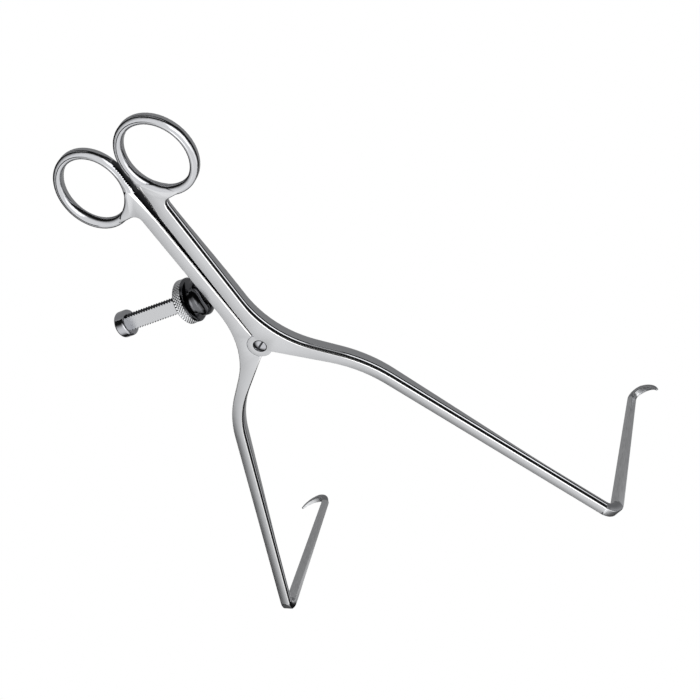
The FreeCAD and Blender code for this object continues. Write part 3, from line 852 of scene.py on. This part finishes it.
def knurl_tree():
    """A band of diamond knurling: grooves of both hands, which fade out at the band's edges."""
    tree, given, band = wrapping_tree(
        "Diamond knurl", ("Start", "Length", "Radius", "Depth"), ("Grooves", "Rows", "Steps round"))
    girth = add(tree, "ShaderNodeMath", [given["Radius"], math.tau], operation="MULTIPLY")
    grooved = add(tree, "ShaderNodeMath", [band["travel"], given["Grooves"]], operation="MULTIPLY")
    lead = add(tree, "ShaderNodeMath", [grooved, girth], operation="DIVIDE")
    passed = add(tree, "ShaderNodeMath", [band["share"], given["Grooves"]], operation="MULTIPLY")
    right_handed = add(tree, "ShaderNodeMath", [passed, lead], operation="ADD")
    left_handed = add(tree, "ShaderNodeMath", [passed, lead], operation="SUBTRACT")
    right_ridge = add(tree, "ShaderNodeMath", [right_handed, 0.5], operation="PINGPONG")
    left_ridge = add(tree, "ShaderNodeMath", [left_handed, 0.5], operation="PINGPONG")
    lower = add(tree, "ShaderNodeMath", [right_ridge, left_ridge], operation="MINIMUM")
    diamond = add(tree, "ShaderNodeMath", [lower, 2], operation="MULTIPLY")
    from_middle = add(tree, "ShaderNodeMath", [band["from middle"]], operation="ABSOLUTE")
    from_edge = add(tree, "ShaderNodeMath", [0.5, from_middle], operation="SUBTRACT")
    rising = add(tree, "ShaderNodeMath", [from_edge, KNURL_FADE], operation="MULTIPLY")
    fade = add(tree, "ShaderNodeMath", [rising, 1], operation="MINIMUM")
    depth = add(tree, "ShaderNodeMath", [given["Depth"], fade], operation="MULTIPLY")
    hollow = add(tree, "ShaderNodeMath", [1, diamond], operation="SUBTRACT")
    groove = add(tree, "ShaderNodeMath", [hollow, depth], operation="MULTIPLY")
    radius = add(tree, "ShaderNodeMath", [given["Radius"], groove], operation="SUBTRACT")
    wrap(tree, given, band, radius)
    return tree


def from_axis(face):
    """How a face lies from the bar's axis: the shortest way there from the axis to its middle."""
    offset = face.calc_center_median() - BAR_PIN
    return offset - ALONG_BAR * offset.dot(ALONG_BAR)


class RETRACTOR_OT_knurled_nut(bpy.types.Operator):
    """The nut: a diamond-knurled grip and a hollow neck that bears on the collar"""
    bl_idname = "retractor.knurled_nut"
    bl_label = "Knurled nut"

    def execute(self, context):
        sizes = context.scene.retractor_sizes
        looks = context.scene.retractor_looks
        # Painted dark reflection: the turned neck is coloured darker than the levers. The knurl's diamonds are
        # bright, and glint against it
        neck = plain_polish("nut_painted_dark_reflection", looks.nut_painted_dark_colour, 0.12)
        grip = plain_polish("knurled_steel", looks.satin_colour, 0.16)
        work = cad_mesh("knurled_nut")
        band = [face for face in work.faces if from_axis(face).length > NUT_RADIUS - GRIP_TOLERANCE
                and abs(face.normal.dot(ALONG_BAR)) < GRIP_FACES_OUT]
        bmesh.ops.delete(work, geom=band, context="FACES")
        knurl = grown("Knurl", knurl_tree(), {
            "Start": NUT_END - KNURL_EDGE - KNURL_WIDTH,
            "Length": KNURL_WIDTH,
            "Radius": NUT_RADIUS,
            "Depth": sizes.knurl_depth,
            "Grooves": sizes.knurl_count,
            "Rows": KNURL_ROWS,
            "Steps round": sizes.knurl_count * STEPS_PER_GROOVE,
            "Finish": grip,
        })
        for face in work.faces:
            face.material_index = 0
        before = len(work.faces)
        knurl.data.transform(BAR_PLACE)
        work.from_mesh(knurl.data)
        bpy.data.objects.remove(knurl)
        work.faces.ensure_lookup_table()
        for face in work.faces[before:]:
            face.material_index = 1
            if face.normal.dot(from_axis(face)) < 0:
                face.normal_flip()
        nut = finished("knurled_nut_steel", work, [neck, grip])
        placed(nut, "nut", "knurled_steel", "knurled_nut")
        return {"FINISHED"}


# Collar, end stop, screw and pin

HEAD_DEPTH = 0.3 * MM
HEAD_LEVEL = 0.99


class RETRACTOR_OT_turned_pieces(bpy.types.Operator):
    """The collar, the end stop, the pivot screw and the bar's pin, all turned and polished"""
    bl_idname = "retractor.turned_pieces"
    bl_label = "Turned pieces"

    def execute(self, context):
        looks = context.scene.retractor_looks
        # Turned and polished, so each piece has one bright line along it. The collar is coloured dark like the
        # nut, a painted dark reflection
        polish = plain_polish("polished_steel", looks.turned_colour, 0.12)
        dark = plain_polish("collar_painted_dark_reflection", looks.nut_painted_dark_colour, 0.12)
        pieces = (
            ("thrust_collar", "collar", dark),
            ("end_stop", "bar", polish),
            ("bar_pin", "left_side", polish),
        )
        for node, body, finish in pieces:
            piece = finished(node + "_steel", cad_mesh(node), [finish])
            placed(piece, body, "polished_steel", node)

        # Painted shade: the slot is in shade, so it gets a dark colour and reads as a dark bar across the head
        recess = plain_polish("slot_painted_shade", looks.painted_shade_colour, 0.4)
        work = cad_mesh("pivot_screw")
        for face in work.faces:
            below = (PIVOT - face.calc_center_median()).dot(TOP)
            on_head = face.normal.dot(TOP) > HEAD_LEVEL and below < HEAD_DEPTH
            face.material_index = 0 if on_head else 1
        screw = finished("pivot_screw_steel", work, [domed_polish(), recess])
        placed(screw, "right_side", "polished_steel", "pivot_screw")
        return {"FINISHED"}


# Stage

# The camera's place and turn are given as the instrument is drawn, with the pivot as the origin
CAMERA_PLACE = Vector((-253.313, -188.017, 354.88)) * MM
CAMERA_TURN = Vector((-39.0206, 11.3013, 146.2835))
CAMERA_LENS = 63.26
CAMERA_NEAR = 0.01
SENSOR_WIDTH = 36.0

# The floor, and the ring of light round the instrument that only the steel mirrors: metres and strengths
FLOOR_SIZE = 6.0
FLOOR_DROP = 0.02 * MM
CARD_RISE = {"From Min": 0.22, "From Max": 0.27, "To Min": 0.4, "To Max": 0.95}
CARD_FALL = {"From Min": 0.3, "From Max": 0.34, "To Min": 1.0, "To Max": 0.02}

# The room is dark up to about 25 degrees above the horizon, and bright overhead
ROOM_RISE = {"From Min": 0.42, "From Max": 0.84, "To Min": 0.015, "To Max": 1.35}

# Each lamp's name, place and power
LAMP_SIZE = 0.9
LAMPS = (
    ("Key lamp", (-0.6, -0.4, 1.1), 3.0),
    ("Fill lamp", (-0.9, 0.5, 0.9), 1.5),
)
WHITE = (1, 1, 1, 1)


def aimed_camera(scene):
    """The scene's camera, which sees the instrument from above its left ring."""
    camera = bpy.data.objects.new("Camera", bpy.data.cameras.new("Camera"))
    scene.collection.objects.link(camera)
    turn = Euler(CAMERA_TURN * math.radians(1)).to_matrix().to_4x4()
    camera.matrix_world = STANCE @ Matrix.Translation(CAMERA_PLACE) @ turn
    camera.data.lens = CAMERA_LENS
    camera.data.sensor_width = SENSOR_WIDTH
    camera.data.clip_start = CAMERA_NEAR
    scene.camera = camera
    return camera


def pale_floor(colour):
    """A floor that is white to the camera. Polished steel mirrors it grey, then bright, then dark."""
    made = bpy.data.materials.new("pale_floor")
    made.use_nodes = True
    tree = made.node_tree
    tree.nodes.clear()
    ray = add(tree, "ShaderNodeLightPath").outputs
    place = add(tree, "ShaderNodeTexCoord").outputs["Object"]
    distance = add(tree, "ShaderNodeVectorMath", [place], operation="LENGTH").outputs["Value"]
    near = add(tree, "ShaderNodeMapRange", {"Value": distance, **CARD_RISE}, interpolation_type="SMOOTHSTEP")
    far = add(tree, "ShaderNodeMapRange", {"Value": distance, **CARD_FALL}, interpolation_type="SMOOTHSTEP")
    strength = add(tree, "ShaderNodeMath", [near, far], operation="MULTIPLY")
    pale = add(tree, "ShaderNodeBsdfDiffuse", {"Color": (*colour, 1)})
    card = add(tree, "ShaderNodeEmission", {"Color": WHITE, "Strength": strength})
    white = add(tree, "ShaderNodeEmission", {"Color": WHITE, "Strength": 1.0})
    mirrored = add(tree, "ShaderNodeMixShader", [ray["Is Glossy Ray"], pale, card])
    seen = add(tree, "ShaderNodeMixShader", [ray["Is Camera Ray"], mirrored, white])
    add(tree, "ShaderNodeOutputMaterial", {"Surface": seen})
    return made


def white_room():
    """A room that is white to the camera. Polished steel mirrors it as dark walls and a bright ceiling."""
    world = bpy.data.worlds.new("White room")
    world.use_nodes = True
    tree = world.node_tree
    tree.nodes.clear()
    ray = add(tree, "ShaderNodeLightPath").outputs
    way = add(tree, "ShaderNodeTexCoord").outputs["Generated"]
    rise = add(tree, "ShaderNodeSeparateXYZ", [way]).outputs["Z"]
    sky = add(tree, "ShaderNodeMapRange", {"Value": rise, **ROOM_RISE}, interpolation_type="SMOOTHSTEP")
    strength = add(tree, "ShaderNodeMath", [sky, ray["Is Camera Ray"]], operation="MAXIMUM")
    back = add(tree, "ShaderNodeBackground", {"Color": WHITE, "Strength": strength})
    add(tree, "ShaderNodeOutputWorld", {"Surface": back})
    return world


def lamp(name, place, power):
    """A soft square lamp that faces the instrument."""
    light = bpy.data.lights.new(name, "AREA")
    light.size = LAMP_SIZE
    light.energy = power
    made = bpy.data.objects.new(name, light)
    bpy.context.scene.collection.objects.link(made)
    made.location = place
    made.rotation_euler = Vector(place).to_track_quat("Z", "Y").to_euler()
    return made


class RETRACTOR_OT_stage(bpy.types.Operator):
    """Camera, pale floor, soft lamps and the room that the polished steel reflects"""
    bl_idname = "retractor.stage"
    bl_label = "Stage"

    def execute(self, context):
        camera = aimed_camera(context.scene)
        work = bmesh.new()
        bmesh.ops.create_grid(work, x_segments=1, y_segments=1, size=FLOOR_SIZE / 2)
        floor = from_bmesh("Floor", work)
        floor.location.z = -FLOOR_DROP
        floor.data.materials.append(pale_floor(context.scene.retractor_looks.floor_colour))
        key, fill = [lamp(*row) for row in LAMPS]
        context.scene.world = white_room()
        context.scene.view_settings.view_transform = "Standard"
        return {"FINISHED"}


# Panel and add-on


class RETRACTOR_PT_panel(bpy.types.Panel):
    """Lists the pieces and their sizes and colours"""
    bl_label = "Retractor"
    bl_idname = "RETRACTOR_PT_panel"
    bl_space_type = "VIEW_3D"
    bl_region_type = "UI"
    bl_category = "Retractor"

    def draw(self, context):
        column = self.layout.column(align=True)
        for group in (context.scene.retractor_sizes, context.scene.retractor_looks):
            for name in group.__annotations__:
                column.prop(group, name)
        for operator in OPERATORS:
            column.operator(operator.bl_idname)


OPERATORS = (
    RETRACTOR_OT_levers,
    RETRACTOR_OT_threaded_bar,
    RETRACTOR_OT_knurled_nut,
    RETRACTOR_OT_turned_pieces,
    RETRACTOR_OT_stage,
)
CLASSES = (RetractorSizes, RetractorLooks, *OPERATORS, RETRACTOR_PT_panel)


def register():
    """Adds the classes and the scene's properties."""
    for made in CLASSES:
        bpy.utils.register_class(made)
    bpy.types.Scene.retractor_sizes = PointerProperty(type=RetractorSizes)
    bpy.types.Scene.retractor_looks = PointerProperty(type=RetractorLooks)


def unregister():
    """Takes them away again."""
    del bpy.types.Scene.retractor_looks
    del bpy.types.Scene.retractor_sizes
    for made in reversed(CLASSES):
        bpy.utils.unregister_class(made)


def main():
    """Builds the whole instrument on its stage."""
    register()
    bpy.ops.retractor.levers()
    bpy.ops.retractor.threaded_bar()
    bpy.ops.retractor.knurled_nut()
    bpy.ops.retractor.turned_pieces()
    bpy.ops.retractor.stage()


if __name__ == "__main__":
    main()
